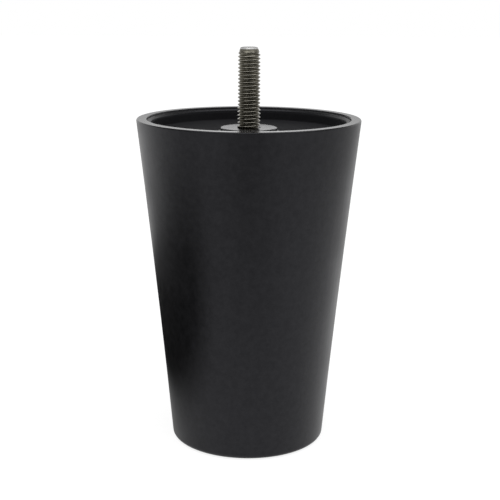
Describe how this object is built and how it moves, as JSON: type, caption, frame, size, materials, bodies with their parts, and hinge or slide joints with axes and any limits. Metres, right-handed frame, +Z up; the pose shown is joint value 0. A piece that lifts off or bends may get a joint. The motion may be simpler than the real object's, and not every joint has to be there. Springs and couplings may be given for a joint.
{
  "type": "sofa foot",
  "caption": "Round tapered plastic furniture foot with a recessed top and a central threaded steel stud, screwed in under a sofa or cabinet.",
  "frame": {"origin": "middle of the base, on the floor", "axes": "+Z up along the foot's axis and the stud, from the narrow base to the wide rim; X and Y are free"},
  "size_m": [0.0776, 0.0776, 0.1393],
  "materials": {
    "shell_plastic": "satin moulded black plastic",
    "insert_plastic": "satin moulded black plastic",
    "steel": "dark oiled steel with a rolled thread"
  },
  "bodies": {
    "root": {"shell": "shell_plastic", "top_insert": "insert_plastic", "stud": "steel"}
  },
  "joints": []
}
